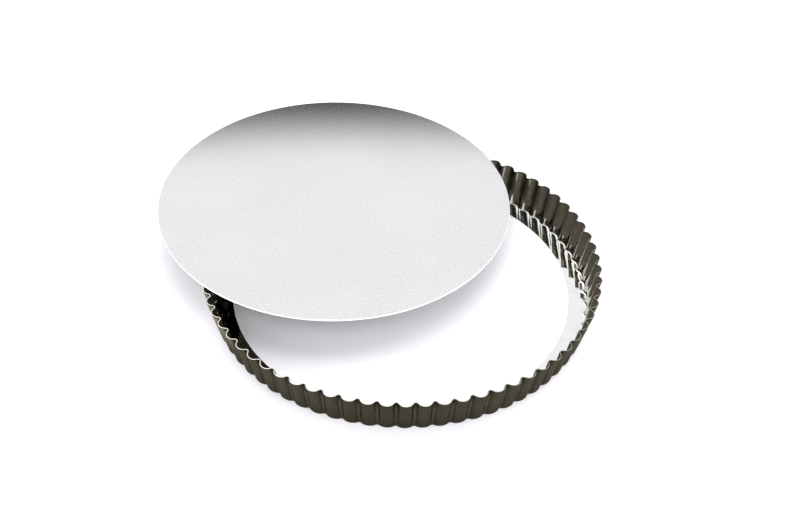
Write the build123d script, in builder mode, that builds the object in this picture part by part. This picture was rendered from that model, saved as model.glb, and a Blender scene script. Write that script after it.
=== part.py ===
from build123d import *
import os
from math import atan, cos, pi, sin

# Loose-bottomed fluted tart pan: a one-piece pressed ring with a narrow flat ledge at its
# foot, and a flat round base that is not fastened to it.  The base lies flat on the ring's
# rim, pushed to the back left, the way it is set down before the pan is put together.
# Origin: centre of the ring, on the surface that it stands on.  +Z is up.

# ---- driving dimensions, millimetres -------------------------------------------------
RIM_DIAMETER = 250.0        # over the outward flutes, at the rim
FOOT_DIAMETER = 238.4       # over the outward flutes, just above the foot bend
RING_HEIGHT = 25.0
RING_SHEET = 0.6
FLUTES = 71
RIM_FLUTE_DEPTH = 3.3       # trough to crest of one skin, at the rim
FOOT_FLUTE_DEPTH = 1.6      # the same, at the foot
LOBE_SHARE = 0.74           # share of the pitch taken by the wide outward lobe
FIRST_LOBE = 1.24           # half pitches from the X axis to the first lobe
BEND_HEIGHT = 1.6           # the turn between the wall and the ledge
BEND_INSET = 1.2
LEDGE_OPENING_DIAMETER = 213.0

BASE_DIAMETER = 231.0       # clears the foot's inward crests, so it drops onto the ledge
BASE_SHEET = 0.8
BASE_EDGE_BREAK = 0.15      # the rolled burr along the blanked edge
BASE_SHIFT_X = -45.2        # where the base lies on the rim, from the ring's centre
BASE_SHIFT_Y = 57.0

# ---- values that follow from them ----------------------------------------------------
HALF_PITCH = pi / FLUTES
FIRST_LOBE_ANGLE = HALF_PITCH * FIRST_LOBE


def around(radius, angle):
    """A point at a radius and an angle, in radians, in the sketch plane."""
    return (radius * cos(angle), radius * sin(angle))


def wavy_outline(outer_radius, depth, inset):
    """A closed run of wide outward lobes and narrow inward crests, as tangent arcs.

    Each lobe meets each crest on a shared tangent, and an inset moves every arc along its
    own normal, so two outlines with different insets are the two skins of one sheet.
    """
    middle_radius = outer_radius - depth / 2
    slope = 2 * atan(depth / (middle_radius * HALF_PITCH))
    joint_radius = outer_radius - depth * LOBE_SHARE - inset * cos(slope)
    joint_angle = HALF_PITCH * LOBE_SHARE - inset * sin(slope) / middle_radius
    lobe_top = outer_radius - inset
    crest_top = outer_radius - depth - inset
    for flute in range(FLUTES):
        lobe_angle = FIRST_LOBE_ANGLE + 2 * HALF_PITCH * flute
        lobe_start = around(joint_radius, lobe_angle - joint_angle)
        lobe_end = around(joint_radius, lobe_angle + joint_angle)
        next_lobe = around(joint_radius, lobe_angle + 2 * HALF_PITCH - joint_angle)
        ThreePointArc(lobe_start, around(lobe_top, lobe_angle), lobe_end)
        ThreePointArc(lobe_end, around(crest_top, lobe_angle + HALF_PITCH), next_lobe)


# ---- fluted ring: flared wall, foot bend and ledge pressed from one sheet ---------------
RIM_RADIUS = RIM_DIAMETER / 2
FOOT_RADIUS = FOOT_DIAMETER / 2

with BuildPart() as fluted_ring:
    # the outer skin, filled: foot, top of the bend, rim
    with BuildSketch(Plane.XY):
        with BuildLine():
            wavy_outline(FOOT_RADIUS - BEND_INSET, FOOT_FLUTE_DEPTH, 0)
        make_face()
    with BuildSketch(Plane.XY.offset(BEND_HEIGHT)):
        with BuildLine():
            wavy_outline(FOOT_RADIUS, FOOT_FLUTE_DEPTH, 0)
        make_face()
    with BuildSketch(Plane.XY.offset(RING_HEIGHT)):
        with BuildLine():
            wavy_outline(RIM_RADIUS, RIM_FLUTE_DEPTH, 0)
        make_face()
    loft(ruled=True)

    # the inner skin, cut away one sheet thickness inside, down to the top of the ledge
    with BuildSketch(Plane.XY.offset(RING_SHEET)):
        with BuildLine():
            wavy_outline(FOOT_RADIUS - BEND_INSET, FOOT_FLUTE_DEPTH, RING_SHEET)
        make_face()
    with BuildSketch(Plane.XY.offset(BEND_HEIGHT + RING_SHEET / 2)):
        with BuildLine():
            wavy_outline(FOOT_RADIUS, FOOT_FLUTE_DEPTH, RING_SHEET)
        make_face()
    with BuildSketch(Plane.XY.offset(RING_HEIGHT)):
        with BuildLine():
            wavy_outline(RIM_RADIUS, RIM_FLUTE_DEPTH, RING_SHEET)
        make_face()
    loft(ruled=True, mode=Mode.SUBTRACT)

    # the round opening that leaves the ledge
    with BuildSketch(Plane.XY):
        Circle(LEDGE_OPENING_DIAMETER / 2)
    extrude(amount=RING_SHEET, mode=Mode.SUBTRACT)

fluted_ring.part.label = "fluted_ring"

# ---- loose base: a flat blanked disc lying on the rim ----------------------------------
BASE_CENTRE_ON_RIM = Plane((BASE_SHIFT_X, BASE_SHIFT_Y, RING_HEIGHT))

with BuildPart() as loose_base:
    with BuildSketch(BASE_CENTRE_ON_RIM):
        Circle(BASE_DIAMETER / 2)
    extrude(amount=BASE_SHEET)
    fillet(loose_base.edges().filter_by(GeomType.CIRCLE), radius=BASE_EDGE_BREAK)

loose_base.part.label = "loose_base"

# ---- one file for each piece -----------------------------------------------------------
os.makedirs("parts", exist_ok=True)
export_step(fluted_ring.part, "parts/fluted_ring.step")
export_step(loose_base.part, "parts/loose_base.step")
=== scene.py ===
import math

import bpy
from mathutils import Matrix, Vector, noise


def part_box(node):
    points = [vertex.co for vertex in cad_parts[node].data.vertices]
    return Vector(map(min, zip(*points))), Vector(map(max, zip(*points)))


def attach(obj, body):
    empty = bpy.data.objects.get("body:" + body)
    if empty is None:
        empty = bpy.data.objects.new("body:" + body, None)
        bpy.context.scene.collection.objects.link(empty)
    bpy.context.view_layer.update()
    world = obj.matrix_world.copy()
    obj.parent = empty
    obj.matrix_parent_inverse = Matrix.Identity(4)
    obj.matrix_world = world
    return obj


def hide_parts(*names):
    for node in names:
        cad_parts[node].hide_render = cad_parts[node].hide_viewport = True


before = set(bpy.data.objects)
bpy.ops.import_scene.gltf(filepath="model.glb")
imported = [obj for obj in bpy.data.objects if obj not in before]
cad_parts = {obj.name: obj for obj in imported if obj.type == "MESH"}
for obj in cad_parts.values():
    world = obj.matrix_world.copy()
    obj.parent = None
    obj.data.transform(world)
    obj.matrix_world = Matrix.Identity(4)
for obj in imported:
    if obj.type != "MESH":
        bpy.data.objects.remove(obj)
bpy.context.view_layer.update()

MM = 0.001
TURN = 2 * math.pi

# ---- the frame: what the CAD model says about each piece -----------------------------
RING_LOW, RING_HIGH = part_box("fluted_ring")
BASE_LOW, BASE_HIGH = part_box("loose_base")
RIM_RADIUS = (RING_HIGH.x - RING_LOW.x) / 2
RING_HEIGHT = RING_HIGH.z - RING_LOW.z
BASE_RADIUS = (BASE_HIGH.x - BASE_LOW.x) / 2
BASE_SHEET = BASE_HIGH.z - BASE_LOW.z
BASE_CENTRE = (BASE_LOW + BASE_HIGH) / 2

# ---- the pressed ring ------------------------------------------------------------------
FLUTES = 71
LOBE_SHARE = 0.74           # share of the pitch taken by the wide outward lobe
FLUTE_PHASE = 1.24          # half pitches from the X axis to the first lobe
RIM_DEPTH = 3.3 * MM
FOOT_DEPTH = 1.6 * MM
FOOT_RADIUS = 119.2 * MM
OPENING_RADIUS = 106.5 * MM
SHEET = 0.6 * MM
HALF_SHEET = SHEET / 2
BEND_RADIUS = 1.5 * MM
LEDGE_RIPPLE = 0.02 * MM    # what the flutes' pressing leaves on the ledge
WAVER = 0.12 * MM           # how much the pressing wavers at the rim
WAVER_SCALE = 9.0           # how fast it changes, and how much slower up the wall
WAVER_RISE = 0.4
COLUMNS_PER_FLUTE = 20
WALL_ROWS = 14
BEND_ROWS = 6
LEDGE_ROWS = 5
CUT_EDGE_STEPS = 4
SUPPORT_GAP = 0.12 * MM     # keeps the flat skins flat right up to their cut edges


# ---- small helpers ---------------------------------------------------------------------
def mesh_piece(name, shape, material, body, slot, *nodes):
    """A smooth-shaded mesh piece that rides on a body and stands for CAD nodes.

    shape is (vertices, faces, {attribute name: one number for each vertex}).
    """
    verts, faces, attributes = shape
    mesh = bpy.data.meshes.new(name)
    mesh.from_pydata(verts, [], faces)
    for label, values in attributes.items():
        layer = mesh.attributes.new(label, "FLOAT", "POINT")
        layer.data.foreach_set("value", values)
    mesh.update()
    mesh.polygons.foreach_set("use_smooth", [True] * len(mesh.polygons))
    piece = bpy.data.objects.new(name, mesh)
    bpy.context.scene.collection.objects.link(piece)
    piece.data.materials.append(material)
    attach(piece, body)
    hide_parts(*nodes)
    return piece


def node_adder(tree):
    """A function that adds a node to the tree, with its sockets or settings by name."""
    def add(kind, **values):
        node = tree.nodes.new(kind)
        for key, value in values.items():
            if key in node.inputs:
                node.inputs[key].default_value = value
            else:
                setattr(node, key, value)
        return node

    return add


def new_material(name):
    """A material, with the functions that link and add its nodes, and its shader."""
    material = bpy.data.materials.new(name)
    material.use_nodes = True
    tree = material.node_tree
    return material, tree.links.new, tree.nodes["Principled BSDF"], node_adder(tree)


def ramp(add, stops):
    """A colour ramp from (position, grey or colour) stops."""
    node = add("ShaderNodeValToRGB")
    elements = node.color_ramp.elements
    while len(elements) < len(stops):
        elements.new(0.5)
    for element, (position, value) in zip(elements, stops):
        element.position = position
        colour = value if isinstance(value, tuple) else (value, value, value)
        element.color = (*colour, 1)
    return node


def mix(add, link, factor, low, high):
    """A colour mix; low and high are colours or output sockets, factor is an output."""
    node = add("ShaderNodeMix", data_type="RGBA")
    link(factor, node.inputs["Factor"])
    low_socket, high_socket = node.inputs[6], node.inputs[7]
    for socket, value in ((low_socket, low), (high_socket, high)):
        if isinstance(value, tuple):
            socket.default_value = (*value, 1)
        else:
            link(value, socket)
    return node.outputs[2]


def between(add, link, value, low, high, to_low=0.0, to_high=1.0, interpolation="LINEAR"):
    """The value carried from low..high to to_low..to_high, and clamped there."""
    node = add("ShaderNodeMapRange", interpolation_type=interpolation)
    node.inputs["From Min"].default_value = low
    node.inputs["From Max"].default_value = high
    node.inputs["To Min"].default_value = to_low
    node.inputs["To Max"].default_value = to_high
    link(value, node.inputs["Value"])
    return node.outputs[0]


def combine(add, link, operation, first, second):
    """Two outputs, or an output and a number, put through one Math node."""
    node = add("ShaderNodeMath", operation=operation)
    for socket, value in ((node.inputs[0], first), (node.inputs[1], second)):
        if isinstance(value, (int, float)):
            socket.default_value = value
        else:
            link(value, socket)
    return node.outputs[0]


def product(add, link, first, *others):
    """Outputs multiplied together."""
    for other in others:
        first = combine(add, link, "MULTIPLY", first, other)
    return first


# ---- the flute shape -------------------------------------------------------------------
def arc_drop(part, lean):
    """How far a circular arc drops at a part of its half width, as a share of its height.

    lean is the arc's slope angle at its end.
    """
    return (1 - math.sqrt(1 - (part * math.sin(lean)) ** 2)) / (1 - math.cos(lean))


def flute_place(turn):
    """Where a turn round the ring lies in its flute, in pitches from the lobe's middle."""
    return (turn * FLUTES - FLUTE_PHASE / 2 + 0.5) % 1.0 - 0.5


def flute_wave(turn):
    """0 at the top of an outward lobe and 1 at the bottom of a crest, as tangent arcs."""
    lean = 2 * math.atan(RIM_DEPTH * FLUTES / (math.pi * (RIM_RADIUS - RIM_DEPTH / 2)))
    place = abs(flute_place(turn)) * 2
    if place < LOBE_SHARE:
        return LOBE_SHARE * arc_drop(place / LOBE_SHARE, lean)
    crest_share = 1 - LOBE_SHARE
    return 1 - crest_share * arc_drop((1 - place) / crest_share, lean)


def flute_side(turn):
    """1 on a flute's counter-clockwise flank, -1 on the other, 0 at lobe and crest."""
    return math.sin(TURN * flute_place(turn))


def middle_rows():
    """The sheet's middle from the opening, over the ledge and the bend, up to the rim.

    Each row is (radius at the lobe tops, flute depth, height, ledge ripple).
    """
    rows = []
    start = OPENING_RADIUS + HALF_SHEET
    bend_centre = FOOT_RADIUS - HALF_SHEET - BEND_RADIUS
    ledge_shares = [0.0, SUPPORT_GAP / (bend_centre - start)]
    ledge_shares += [step / LEDGE_ROWS for step in range(1, LEDGE_ROWS)]
    for share in ledge_shares:
        radius = start + (bend_centre - start) * share
        rows.append((radius, FOOT_DEPTH * share, HALF_SHEET, LEDGE_RIPPLE * share * share))
    flare = math.atan2(RIM_RADIUS - FOOT_RADIUS, RING_HEIGHT)
    for step in range(BEND_ROWS + 1):
        angle = (math.pi / 2 - flare) * step / BEND_ROWS
        radius = bend_centre + BEND_RADIUS * math.sin(angle)
        height = HALF_SHEET + BEND_RADIUS * (1 - math.cos(angle))
        rows.append((radius, FOOT_DEPTH, height, 0.0))
    low_radius, _, low_height, _ = rows[-1]
    high_radius = RIM_RADIUS - HALF_SHEET
    high_height = RING_HEIGHT - HALF_SHEET
    wall_shares = [step / WALL_ROWS for step in range(1, WALL_ROWS)]
    wall_shares += [1 - SUPPORT_GAP / (high_height - low_height), 1.0]
    for share in wall_shares:
        radius = low_radius + (high_radius - low_radius) * share
        height = low_height + (high_height - low_height) * share
        rows.append((radius, FOOT_DEPTH + (RIM_DEPTH - FOOT_DEPTH) * share, height, 0.0))
    return rows


def press_waver(turn, height_share):
    """The small waver that pressing leaves in the wall."""
    spot = Vector((math.cos(turn * TURN), math.sin(turn * TURN), height_share * WAVER_RISE))
    return WAVER * noise.noise(spot * WAVER_SCALE) * height_share


def middle_grid(waves):
    """The sheet's middle surface: for each column, its points from the opening to the rim."""
    rows = middle_rows()
    grid = []
    for column, wave in enumerate(waves):
        turn = column / len(waves)
        across = Vector((math.cos(turn * TURN), math.sin(turn * TURN), 0))
        line = []
        for radius, depth, height, ripple in rows:
            r = radius - depth * wave - press_waver(turn, height / RING_HEIGHT) * wave
            line.append(across * r + Vector((0, 0, height + ripple * wave)))
        grid.append(line)
    return grid


def ring_shape():
    """Both skins of the sheet, closed by a rounded cut edge at the rim and the opening."""
    columns = FLUTES * COLUMNS_PER_FLUTE
    waves = [flute_wave(column / columns) for column in range(columns)]
    grid = middle_grid(waves)
    last = len(grid[0]) - 1
    verts = []
    attributes = {"crest": [], "side": [], "inside": [], "cut_edge": []}

    def put(point, wave, side, inside, cut_edge):
        verts.append(point)
        attributes["crest"].append(wave)
        attributes["side"].append(side)
        attributes["inside"].append(inside)
        attributes["cut_edge"].append(cut_edge)

    def put_cut_edge(middle, start, outwards, wave, side):
        """The half circle round a cut edge, from one skin to the other."""
        for step in range(1, CUT_EDGE_STEPS):
            angle = math.pi * step / CUT_EDGE_STEPS
            offset = start * math.cos(angle) + outwards * math.sin(angle)
            put(middle + offset * HALF_SHEET, wave, side, 0.5, 1.0)

    for column, wave in enumerate(waves):
        side = flute_side(column / columns)
        here = grid[column]
        before = grid[column - 1]
        after = grid[(column + 1) % columns]
        rises = []
        normals = []
        for row in range(last + 1):
            rise = here[min(row + 1, last)] - here[max(row - 1, 0)]
            rises.append(rise.normalized())
            normals.append((after[row] - before[row]).cross(rises[row]).normalized())
        for row in range(last + 1):
            put(here[row] + normals[row] * HALF_SHEET, wave, side, 0.0, 0.0)
        put_cut_edge(here[last], normals[last], rises[last], wave, side)
        for row in range(last, -1, -1):
            put(here[row] - normals[row] * HALF_SHEET, wave, side, 1.0, 0.0)
        put_cut_edge(here[0], -normals[0], -rises[0], wave, side)

    around = len(verts) // columns
    faces = []
    for column in range(columns):
        here = column * around
        after = ((column + 1) % columns) * around
        for row in range(around):
            following = (row + 1) % around
            faces.append((here + row, after + row, after + following, here + following))
    for point in verts:
        point.z = min(max(point.z, 0.0), RING_HEIGHT)
    return verts, faces, attributes


# ---- the base --------------------------------------------------------------------------
BASE_COLUMNS = 360
BASE_EDGE_STEPS = 8
BASE_RINGS = (0.15, 0.3, 0.45, 0.6, 0.75, 0.9, 0.97)    # shares of the flat radius


def base_shape():
    """A flat round blank with a rolled edge, in rings from its middle outwards and back."""
    edge = BASE_SHEET / 2
    flat_radius = BASE_RADIUS - edge
    flats = [flat_radius * share for share in BASE_RINGS] + [flat_radius - SUPPORT_GAP]
    rings = [(radius, 0.0) for radius in flats]
    for step in range(BASE_EDGE_STEPS + 1):
        angle = math.pi * step / BASE_EDGE_STEPS
        rings.append((flat_radius + edge * math.sin(angle), edge * (1 - math.cos(angle))))
    rings += [(radius, BASE_SHEET) for radius in reversed(flats)]

    verts = [Vector((BASE_CENTRE.x, BASE_CENTRE.y, BASE_HIGH.z))]
    for radius, drop in rings:
        for column in range(BASE_COLUMNS):
            angle = TURN * column / BASE_COLUMNS
            x = BASE_CENTRE.x + radius * math.cos(angle)
            y = BASE_CENTRE.y + radius * math.sin(angle)
            verts.append(Vector((x, y, BASE_HIGH.z - drop)))
    verts.append(Vector((BASE_CENTRE.x, BASE_CENTRE.y, BASE_LOW.z)))

    faces = []
    under_middle = len(verts) - 1
    last_ring = 1 + (len(rings) - 1) * BASE_COLUMNS
    for column in range(BASE_COLUMNS):
        after = (column + 1) % BASE_COLUMNS
        faces.append((0, 1 + column, 1 + after))
        for ring in range(len(rings) - 1):
            inner = 1 + ring * BASE_COLUMNS
            outer = inner + BASE_COLUMNS
            faces.append((inner + column, outer + column, outer + after, inner + after))
        faces.append((last_ring + column, under_middle, last_ring + after))
    return verts, faces, {}


# ---- materials -------------------------------------------------------------------------
NOISE_SPAN = (0.3, 0.7)                 # where most values of a noise texture lie
UNCHANGED = (1.0, 1.0, 1.0)
SCUFFED_EDGE = (0.95, 0.95, 0.94)

# Where the ring's colour, gloss and painted shade change. First the heights over the surface
# that it stands on:
TIP_HEIGHTS = (RING_HEIGHT - 7 * MM, RING_HEIGHT - 2 * MM)
LIP_HEIGHTS = (RING_HEIGHT - 1.2 * MM, RING_HEIGHT - 0.6 * MM)
HOLLOW_HEIGHTS = (7 * MM, 12 * MM)
FOOT_HEIGHTS = (2 * MM, 14 * MM)
RIM_HEIGHTS = (1 * MM, 2 * MM)
LEDGE_HEIGHTS = (1.8 * MM, 1.3 * MM)
# and then the places along the X axis, where the painted reflection inside fades out and the
# painted shade on the rim's cut edge comes in:
HOLLOW_PLACES = (111 * MM, 87 * MM)
RIM_EDGE_SHADE_PLACES = (0.0, 85 * MM)

# Where the base's surface and its painted shade change: its cut edge begins just under its
# upper face, and the painted shade of its lower face comes in just over that face.
BASE_EDGE_HEIGHTS = (BASE_HIGH.z - 0.02 * MM, BASE_HIGH.z - 0.06 * MM)
BASE_UNDER_HEIGHTS = (BASE_LOW.z + 0.2 * MM, BASE_LOW.z + 0.05 * MM)


def outer_wall_shade(add, link, crest, height):
    """Painted shade and highlight: grooves with dark flanks and a lighter middle, which end in
    a painted dark tip under the rim.
    """
    groove = ramp(add, [(0.0, 1.0), (0.42, 0.95), (0.70, 0.60), (0.84, 0.65), (0.97, 1.25)])
    link(crest, groove.inputs["Fac"])
    near_rim = between(add, link, height, *TIP_HEIGHTS)
    tip = product(add, link, near_rim, between(add, link, crest, 0.45, 0.85))
    return mix(add, link, tip, groove.outputs["Color"], (0.35, 0.35, 0.35))


def inner_wall_shade(add, link, crest, side, height, x):
    """Painted reflection and shade above the foot: dark ridges, and hollows with a painted
    highlight on one side.

    This fades out towards the far right, where the wall is even.
    """
    hollow = ramp(add, [(0.0, 0.30), (0.30, 0.42), (0.50, 0.85), (0.78, 1.55), (1.0, 1.35)])
    link(between(add, link, side, -1.0, 1.0), hollow.inputs["Fac"])
    ridge = between(add, link, crest, 0.30, 0.70, 1.0, 0.35)
    hollow_shade = product(add, link, hollow.outputs["Color"], ridge)
    above_foot = between(add, link, height, *HOLLOW_HEIGHTS)
    # how much of the painted reflection and shade is used: none at the foot, fading out to the
    # right
    painted_share = product(add, link, above_foot, between(add, link, x, *HOLLOW_PLACES))
    return mix(add, link, painted_share, (1.05, 1.05, 1.05), hollow_shade)


def ring_material():
    """Bright tinned sheet, warmer with fine streaks and painted shade and reflections on the
    wall, plain on the ledge and the bend.
    """
    material, link, shader, add = new_material("ring_sheet")
    place = add("ShaderNodeTexCoord").outputs["Object"]
    split = add("ShaderNodeSeparateXYZ")
    link(place, split.inputs[0])
    height = split.outputs["Z"]
    crest = add("ShaderNodeAttribute", attribute_name="crest").outputs["Fac"]
    side = add("ShaderNodeAttribute", attribute_name="side").outputs["Fac"]
    inside = add("ShaderNodeAttribute", attribute_name="inside").outputs["Fac"]
    cut_edge = add("ShaderNodeAttribute", attribute_name="cut_edge").outputs["Fac"]

    # patches about a flute wide, and fine streaks, both drawn out up the wall
    drawn = add("ShaderNodeMapping")
    drawn.inputs["Scale"].default_value = (1, 1, 0.22)
    link(place, drawn.inputs["Vector"])
    clouds = add("ShaderNodeTexNoise", Scale=95.0, Detail=5.0, Roughness=0.62)
    link(drawn.outputs[0], clouds.inputs["Vector"])
    patches = clouds.outputs["Fac"]
    fine = add("ShaderNodeTexNoise", Scale=1100.0, Detail=4.0, Roughness=0.7)
    link(drawn.outputs[0], fine.inputs["Vector"])
    streaks = fine.outputs["Fac"]

    # the wall's warm tin
    tint = ramp(add, [
        (0.32, (0.64, 0.625, 0.54)),
        (0.47, (0.71, 0.655, 0.56)),
        (0.56, (0.61, 0.625, 0.56)),
        (0.68, (0.79, 0.70, 0.61)),
    ])
    link(patches, tint.inputs["Fac"])
    outer = outer_wall_shade(add, link, crest, height)
    inner = inner_wall_shade(add, link, crest, side, height, split.outputs["X"])
    # the wall's tint times its painted shade and reflections, outside or inside
    painted_shade_tint = add("ShaderNodeVectorMath", operation="MULTIPLY")
    link(tint.outputs["Color"], painted_shade_tint.inputs[0])
    link(mix(add, link, inside, outer, inner), painted_shade_tint.inputs[1])

    # painted shade: darker towards the foot on the outside, and in a thin line under the rim
    outer_foot = between(add, link, height, *FOOT_HEIGHTS, 0.7, 1.1)
    foot_shade = mix(add, link, inside, outer_foot, UNCHANGED)
    lip_shade = between(add, link, height, *LIP_HEIGHTS, 1.0, 0.35)
    streak_shade = between(add, link, streaks, *NOISE_SPAN, 0.82, 1.18)
    shaded = add("ShaderNodeVectorMath", operation="SCALE")
    link(painted_shade_tint.outputs[0], shaded.inputs[0])
    link(product(add, link, foot_shade, lip_shade, streak_shade), shaded.inputs["Scale"])

    # the ledge's plain tin
    tin = ramp(add, [(0.3, (0.76, 0.77, 0.76)), (0.7, (0.83, 0.83, 0.81))])
    link(patches, tin.inputs["Fac"])
    ledge = product(add, link, between(add, link, height, *LEDGE_HEIGHTS), inside)
    skins = mix(add, link, ledge, shaded.outputs[0], tin.outputs["Color"])

    # the rim's cut edge is creamy, with painted shade darkening it towards the right; the
    # opening's is white
    at_rim = between(add, link, height, *RIM_HEIGHTS)
    rim_edge_shade = between(add, link, split.outputs["X"], *RIM_EDGE_SHADE_PLACES)
    rim_colour = mix(add, link, rim_edge_shade, (0.64, 0.62, 0.56), (0.20, 0.19, 0.165))
    edge_colour = mix(add, link, at_rim, SCUFFED_EDGE, rim_colour)
    link(mix(add, link, cut_edge, skins, edge_colour), shader.inputs["Base Color"])
    # the cut edges are scuffed and scatter light, the rim's less than the opening's
    scatter = product(add, link, cut_edge, between(add, link, at_rim, 0.0, 1.0, 1.0, 0.6))
    link(combine(add, link, "SUBTRACT", 1.0, scatter), shader.inputs["Metallic"])

    gloss = add("ShaderNodeMix", data_type="FLOAT")
    link(ledge, gloss.inputs[0])
    link(between(add, link, streaks, *NOISE_SPAN, 0.07, 0.14), gloss.inputs[2])
    link(between(add, link, streaks, *NOISE_SPAN, 0.02, 0.05), gloss.inputs[3])
    link(gloss.outputs[0], shader.inputs["Roughness"])
    bump = add("ShaderNodeBump", Strength=0.2, Distance=0.02 * MM)
    link(streaks, bump.inputs["Height"])
    link(bump.outputs[0], shader.inputs["Normal"])
    return material


def base_material():
    """Bright satin rolled sheet with a fine even grain."""
    material, link, shader, add = new_material("base_sheet")
    place = add("ShaderNodeTexCoord").outputs["Object"]
    grain = add("ShaderNodeTexNoise", Scale=700.0, Detail=4.0, Roughness=0.75)
    link(place, grain.inputs["Vector"])
    clouds = add("ShaderNodeTexNoise", Scale=24.0, Detail=4.0, Roughness=0.55)
    link(place, clouds.inputs["Vector"])

    tint = ramp(add, [(0.3, (0.68, 0.69, 0.68)), (0.7, (0.855, 0.865, 0.855))])
    link(grain.outputs["Fac"], tint.inputs["Fac"])
    cloud_shade = between(add, link, clouds.outputs["Fac"], *NOISE_SPAN, 0.97, 1.02)
    shaded = add("ShaderNodeVectorMath", operation="SCALE")
    link(tint.outputs["Color"], shaded.inputs[0])
    link(cloud_shade, shaded.inputs["Scale"])

    # the cut edge is scuffed and scatters light; the lower face is duller and painted darker, a
    # painted shade for the shadow under the base
    split = add("ShaderNodeSeparateXYZ")
    link(place, split.inputs[0])
    edge = between(add, link, split.outputs["Z"], *BASE_EDGE_HEIGHTS)
    under = between(add, link, split.outputs["Z"], *BASE_UNDER_HEIGHTS)
    with_edge = mix(add, link, edge, shaded.outputs[0], SCUFFED_EDGE)
    link(mix(add, link, under, with_edge, (0.18, 0.18, 0.17)), shader.inputs["Base Color"])
    cut_edge = combine(add, link, "SUBTRACT", edge, under)
    link(between(add, link, cut_edge, 0.0, 1.0, 1.0, 0.15), shader.inputs["Metallic"])

    gloss = between(add, link, grain.outputs["Fac"], *NOISE_SPAN, 0.05, 0.085)
    link(gloss, shader.inputs["Roughness"])
    bump = add("ShaderNodeBump", Strength=0.2, Distance=0.006 * MM)
    link(grain.outputs["Fac"], bump.inputs["Height"])
    link(bump.outputs[0], shader.inputs["Normal"])
    return material


# ---- the floor and the table -----------------------------------------------------------
PLANE_REACH = 6.0                       # from the middle to each side
FLOOR_THIN = (0.885, 0.88, 0.92)
FLOOR_THICK = (0.905, 0.90, 0.94)
TABLE_THIN = (0.078, 0.072, 0.056)
TABLE_THICK = (0.087, 0.080, 0.062)
TABLE_SIDE_LIFT = 1.45                  # painted light: how much lighter the table is at either side
TABLE_SIDE_SPAN = (20 * MM, 120 * MM)   # distances along X where this comes in
TABLE_LEFT_LIFT = 2.6                   # and, painted light again, how much again beyond the ring's left
TABLE_LEFT_SPAN = (-104 * MM, -118 * MM)


def paper_material(name, thin, thick, side_lift=1.0, far_left_lift=1.0):
    """Plain matt paper, from the colour of its thin spots to that of its thick ones.

    side_lift paints a pool of light: how much lighter it gets to the left and right of the
    object, and
    far_left_lift paints another: how much lighter still it is beyond the ring's left.
    """
    material, link, shader, add = new_material(name)
    place = add("ShaderNodeTexCoord").outputs["Object"]
    fibre = add("ShaderNodeTexNoise", Scale=60.0, Detail=4.0)
    link(place, fibre.inputs["Vector"])
    tint = ramp(add, [(0.3, thin), (0.7, thick)])
    link(fibre.outputs["Fac"], tint.inputs["Fac"])
    split = add("ShaderNodeSeparateXYZ")
    link(place, split.inputs[0])
    x = split.outputs["X"]
    off_middle = combine(add, link, "ABSOLUTE", x, 0.0)
    lift = between(add, link, off_middle, *TABLE_SIDE_SPAN, 1.0, side_lift)
    far_left = between(add, link, x, *TABLE_LEFT_SPAN, 1.0, far_left_lift)
    lifted = add("ShaderNodeVectorMath", operation="SCALE")
    link(tint.outputs["Color"], lifted.inputs[0])
    link(product(add, link, lift, far_left), lifted.inputs["Scale"])
    link(lifted.outputs[0], shader.inputs["Base Color"])
    shader.inputs["Roughness"].default_value = 0.9
    shader.inputs["Specular IOR Level"].default_value = 0.1
    return material


def studio_plane(name, material):
    """A wide level plane under the object."""
    mesh = bpy.data.meshes.new(name)
    signs = ((-1, -1), (1, -1), (1, 1), (-1, 1))
    corners = [(x * PLANE_REACH, y * PLANE_REACH, 0) for x, y in signs]
    mesh.from_pydata(corners, [], [(0, 1, 2, 3)])
    plane = bpy.data.objects.new(name, mesh)
    bpy.context.scene.collection.objects.link(plane)
    plane.data.materials.append(material)
    return plane


def make_floor():
    """A plain pale floor, and the dark table that the polished metal shows in its place."""
    floor = studio_plane("floor", paper_material("pale_paper", FLOOR_THIN, FLOOR_THICK))
    floor.visible_glossy = False
    lifts = (TABLE_SIDE_LIFT, TABLE_LEFT_LIFT)
    table = studio_plane("table", paper_material("dark_table", TABLE_THIN, TABLE_THICK, *lifts))
    table.visible_camera = False
    table.visible_diffuse = False
    table.visible_shadow = False
    table.visible_transmission = False


# ---- the studio ------------------------------------------------------------------------
STUDIO_BRIGHT = (1.08, 1.08, 1.10)
STUDIO_SOFTBOX = (2.0, 2.0, 2.02)
STUDIO_FLAG = (0.015, 0.015, 0.016)
STUDIO_BAND = (0.02, 0.02, 0.022)
STUDIO_BACKGROUND = (0.90, 0.895, 0.935)

# Directions are (x, y, z) of length 1, so z is the sine of the angle above the horizon,
# and y says how far behind the object the direction points.
BAND_TOP_FADE = (0.5915, 0.5495)        # z, where the dark band comes in from above
BAND_FOOT_FADE = (0.42, 0.50)           # z, and from below
BAND_SIDE_FADE = (math.radians(34), math.radians(18))   # to either side of straight back
FLAG_LOW = math.sin(math.radians(52))   # z, the flag hangs between these
FLAG_HIGH = math.sin(math.radians(77))
FLAG_LOW_FADE = (FLAG_LOW, FLAG_LOW + 0.04)
FLAG_HIGH_FADE = (FLAG_HIGH, FLAG_HIGH - 0.02)
FLAG_BACK_FADE = (0.15, 0.0)            # y
SOFTBOX_LOW_FADE = (0.70, 0.75)         # z
SOFTBOX_BACK_FADE = (0.15, 0.30)        # y

# name, place, diameter, watts
LIGHTS = (
    ("top", (0.20, 0.95, 1.15), 2.9, 22),
    ("front_fill", (0.0, -1.5, 0.40), 1.0, 27),
    ("right_fill", (1.0, -0.9, 0.80), 1.0, 4),
    ("left_fill", (-0.35, -1.0, 1.25), 0.8, 4.5),
)

# The camera looks along the Y axis and down, with a slight roll.
CAMERA_ELEVATION = math.radians(40.60)
CAMERA_ROLL = math.radians(1.567)
CAMERA_DISTANCE = 827.3 * MM
CAMERA_AIM = Vector((-4.11 * MM, 31.76 * MM, 0))
CAMERA_SENSOR = 36.0                    # millimetres, as is the lens
CAMERA_LENS = 57.2


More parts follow.
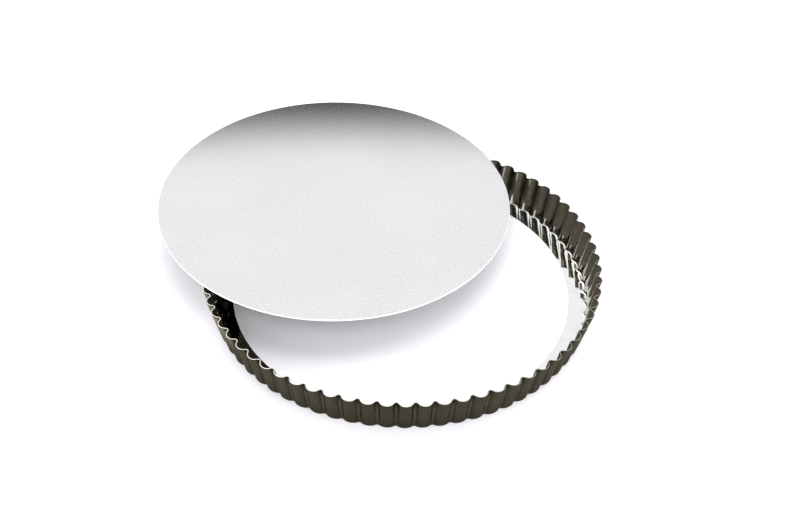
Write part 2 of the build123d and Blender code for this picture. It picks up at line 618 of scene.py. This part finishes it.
def make_world():
    """A bright soft studio for the metal to show, and a plain pale background.

    A dark band stands behind the object, a dark flag hangs over the camera, and a
    brighter softbox is high up behind.
    """
    world = bpy.data.worlds.new("studio")
    bpy.context.scene.world = world
    world.use_nodes = True
    tree = world.node_tree
    link = tree.links.new
    add = node_adder(tree)

    def fade(value, span):
        return between(add, link, value, *span, interpolation="SMOOTHSTEP")

    place = add("ShaderNodeTexCoord")
    split = add("ShaderNodeSeparateXYZ")
    link(place.outputs["Generated"], split.inputs[0])
    y = split.outputs["Y"]
    z = split.outputs["Z"]
    bearing = combine(add, link, "ARCTAN2", split.outputs["X"], y)
    off_back = combine(add, link, "ABSOLUTE", bearing, 0.0)

    band_rise = product(add, link, fade(z, BAND_TOP_FADE), fade(z, BAND_FOOT_FADE))
    band = product(add, link, fade(off_back, BAND_SIDE_FADE), band_rise)
    flag_rise = product(add, link, fade(z, FLAG_LOW_FADE), fade(z, FLAG_HIGH_FADE))
    flag = product(add, link, flag_rise, fade(y, FLAG_BACK_FADE))
    softbox = product(add, link, fade(z, SOFTBOX_LOW_FADE), fade(y, SOFTBOX_BACK_FADE))

    lit = mix(add, link, softbox, STUDIO_BRIGHT, STUDIO_SOFTBOX)
    flagged = mix(add, link, flag, lit, STUDIO_FLAG)
    studio = mix(add, link, band, flagged, STUDIO_BAND)
    camera_ray = add("ShaderNodeLightPath").outputs["Is Camera Ray"]
    shown = mix(add, link, camera_ray, studio, STUDIO_BACKGROUND)
    background = tree.nodes["Background"]
    link(shown, background.inputs["Color"])
    background.inputs["Strength"].default_value = 1.0


def area_light(name, place, diameter, power):
    """A soft round light for the floor, aimed at the origin; the metal doesn't show it."""
    data = bpy.data.lights.new(name, "AREA")
    data.shape = "DISK"
    data.size = diameter
    data.energy = power
    light = bpy.data.objects.new(name, data)
    light.visible_glossy = False
    light.location = place
    light.rotation_euler = (-Vector(place)).to_track_quat("-Z", "Y").to_euler()
    bpy.context.scene.collection.objects.link(light)


def make_camera():
    """The camera, placed by its aim, elevation, distance and roll."""
    forward = Vector((0, math.cos(CAMERA_ELEVATION), -math.sin(CAMERA_ELEVATION)))
    right = Vector((1, 0, 0))
    up = Vector((0, math.sin(CAMERA_ELEVATION), math.cos(CAMERA_ELEVATION)))
    turned_right = right * math.cos(CAMERA_ROLL) + up * math.sin(CAMERA_ROLL)
    turned_up = up * math.cos(CAMERA_ROLL) - right * math.sin(CAMERA_ROLL)
    data = bpy.data.cameras.new("camera")
    data.sensor_width = CAMERA_SENSOR
    data.lens = CAMERA_LENS
    camera = bpy.data.objects.new("camera", data)
    rotation = Matrix((turned_right, turned_up, -forward)).transposed().to_4x4()
    place = CAMERA_AIM - forward * CAMERA_DISTANCE
    camera.matrix_world = Matrix.Translation(place) @ rotation
    bpy.context.scene.collection.objects.link(camera)
    bpy.context.scene.camera = camera


# ---- the scene -------------------------------------------------------------------------
mesh_piece("ring_pressing", ring_shape(), ring_material(), "ring", "ring_sheet", "fluted_ring")
mesh_piece("base_blank", base_shape(), base_material(), "base", "base_sheet", "loose_base")

make_floor()
make_world()
for light in LIGHTS:
    area_light(*light)
make_camera()
bpy.context.scene.view_settings.view_transform = "Standard"
